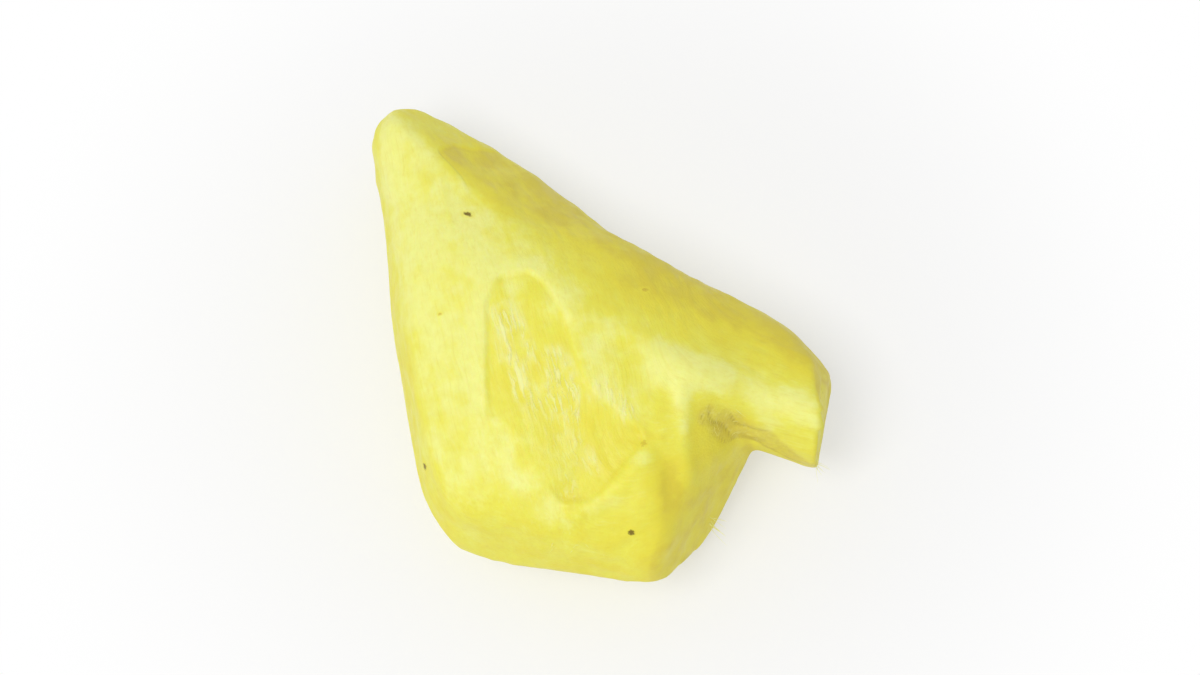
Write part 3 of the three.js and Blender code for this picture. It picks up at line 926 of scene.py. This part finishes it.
def strand_grid():
    """A six-sided tube along each centre line, about half as high as wide, closed by a point at
    each end. Its half width is the strand's own times 1.05 - (2 t - 1)**4, less half of it by the
    far end."""
    paths, ups, widths = strand_paths()
    ahead = np.gradient(paths, axis=1)
    ahead /= np.linalg.norm(ahead, axis=-1, keepdims=True)
    side = np.cross(ahead, ups)
    side /= np.linalg.norm(side, axis=-1, keepdims=True)
    over = np.cross(side, ahead)
    t = np.linspace(0, 1, STRAND_STEPS)
    thickness = widths[:, None] * (1.05 - (2 * t - 1) ** 4) * (1 - 0.5 * t)
    angle = np.arange(STRAND_SIDES) * 2 * math.pi / STRAND_SIDES
    out = side[:, :, None] * np.cos(angle)[:, None] + over[:, :, None] * 0.55 * np.sin(angle)[:, None]
    rings = paths[:, :, None] + out * thickness[:, :, None, None]
    per = STRAND_STEPS * STRAND_SIDES + 2
    tips = np.stack([paths[:, 0], paths[:, -1]], 1)
    points = np.concatenate([rings.reshape(len(paths), -1, 3), tips], axis=1).reshape(-1, 3)

    row, col = np.meshgrid(np.arange(STRAND_STEPS - 1), np.arange(STRAND_SIDES), indexing="ij")
    here, after = row * STRAND_SIDES + col, row * STRAND_SIDES + (col + 1) % STRAND_SIDES
    quads = np.stack([here, here + STRAND_SIDES, after + STRAND_SIDES, after], -1).reshape(-1, 4)
    last = (STRAND_STEPS - 1) * STRAND_SIDES
    near = np.stack([here[0], after[0], np.full(STRAND_SIDES, per - 2)], -1)
    far = np.stack([after[0] + last, here[0] + last, np.full(STRAND_SIDES, per - 1)], -1)
    first = np.arange(len(paths))[:, None, None] * per
    return points, (quads + first).reshape(-1, 4), (np.concatenate([near, far]) + first).reshape(-1, 3)


def strand_material():
    """Pale, slightly glossy strands, a little darker in places along their length."""
    material, tree, shader = new_material("torn_fibre")
    place = tree.nodes.new("ShaderNodeTexCoord").outputs["Object"]
    worn = fit_range(tree, noise(tree, place, 900, 3), 0.35, 0.65, 0.0, 0.5)
    link(tree, mixed(tree, worn, FIBRE, MILD), shader.inputs["Base Color"])
    gloss = fit_range(tree, noise(tree, place, 1500, 2), 0.3, 0.7, 0.4, 0.6)
    link(tree, gloss, shader.inputs["Roughness"])
    let_light_in(shader, 0.2, 0.0005, (1.0, 0.8, 0.4))
    return material


strand_points, strand_quads, strand_ends = strand_grid()
strand_faces = strand_quads.tolist() + strand_ends.tolist()
strands = make_mesh("torn_fibres", placed(strand_points), strand_faces, {})
strands.data.materials.append(strand_material())
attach(strands, "root")


# ---- The table and the light -----------------------------------------------------------------------
# The root lies on a white table top in a pale room. A large soft lamp on the left stands for a window,
# and the camera looks steeply down.

TABLE_SIZE = 3.0
LAMP_AT = (-0.33, -0.28, 0.91)
LAMP_SIZE = 0.42
LAMP_WATTS = 4.0
ROOM_LIGHT = 0.6
CAMERA_LIFT = 72.0
CAMERA_DISTANCE = 0.47
AIM = np.array([0.0, 0.0, 0.015])  # a little below the root's middle


def table_material():
    """Matt white, lifted towards pure white where the camera sees it, more so away from the root,
    so that the table has no visible far edge."""
    material, tree, shader = new_material("white_table")
    tree.nodes.remove(shader)
    matt = tree.nodes.new("ShaderNodeBsdfDiffuse")
    matt.inputs["Color"].default_value = (0.93, 0.93, 0.93, 1)
    white = tree.nodes.new("ShaderNodeEmission")
    away = vector_length(tree, tree.nodes.new("ShaderNodeTexCoord").outputs["Object"])
    seen = tree.nodes.new("ShaderNodeLightPath").outputs["Is Camera Ray"]
    mix = tree.nodes.new("ShaderNodeMixShader")
    link(tree, product(tree, fit_range(tree, away, 0.045, 0.11, 0.5, 1.0), seen), mix.inputs["Fac"])
    link(tree, matt.outputs["BSDF"], mix.inputs[1])
    link(tree, white.outputs["Emission"], mix.inputs[2])
    link(tree, mix.outputs["Shader"], tree.nodes["Material Output"].inputs["Surface"])
    return material


def make_lamp():
    """A square area lamp that faces the root."""
    data = bpy.data.lights.new("window", "AREA")
    data.size = LAMP_SIZE
    data.energy = LAMP_WATTS
    lamp = bpy.data.objects.new("window", data)
    lamp.location = LAMP_AT
    towards = AIM - LAMP_AT
    pitch = math.acos(-towards[2] / np.linalg.norm(towards))
    lamp.rotation_euler = (pitch, 0, math.atan2(towards[1], towards[0]) - math.pi / 2)
    bpy.context.scene.collection.objects.link(lamp)


def make_room():
    """Even white light from all sides, at ROOM_LIGHT, with pure white where the camera sees it."""
    world = bpy.data.worlds.new("room")
    world.use_nodes = True
    bpy.context.scene.world = world
    tree = world.node_tree
    ambient, backdrop = tree.nodes["Background"], tree.nodes.new("ShaderNodeBackground")
    ambient.inputs["Strength"].default_value = ROOM_LIGHT
    for background in (ambient, backdrop):
        background.inputs["Color"].default_value = (1, 1, 1, 1)
    mix = tree.nodes.new("ShaderNodeMixShader")
    link(tree, tree.nodes.new("ShaderNodeLightPath").outputs["Is Camera Ray"], mix.inputs["Fac"])
    link(tree, ambient.outputs["Background"], mix.inputs[1])
    link(tree, backdrop.outputs["Background"], mix.inputs[2])
    link(tree, mix.outputs["Shader"], tree.nodes["World Output"].inputs["Surface"])


def make_camera():
    """A long lens CAMERA_DISTANCE from the root and CAMERA_LIFT degrees above level, in front."""
    lens = bpy.data.cameras.new("camera")
    lens.lens = 85
    lens.clip_start = 0.01
    camera = bpy.data.objects.new("camera", lens)
    camera.location = AIM - CAMERA_DISTANCE * facing(90, -CAMERA_LIFT)
    camera.rotation_euler = (math.radians(90 - CAMERA_LIFT), 0, 0)
    bpy.context.scene.collection.objects.link(camera)
    bpy.context.scene.camera = camera


table_corners = TABLE_SIZE / 2 * np.array([(-1, -1, 0), (1, -1, 0), (1, 1, 0), (-1, 1, 0)])
table = make_mesh("table", table_corners, [(0, 1, 2, 3)], {})
table.data.materials.append(table_material())
make_lamp()
make_room()
make_camera()
bpy.context.scene.view_settings.view_transform = "Standard"
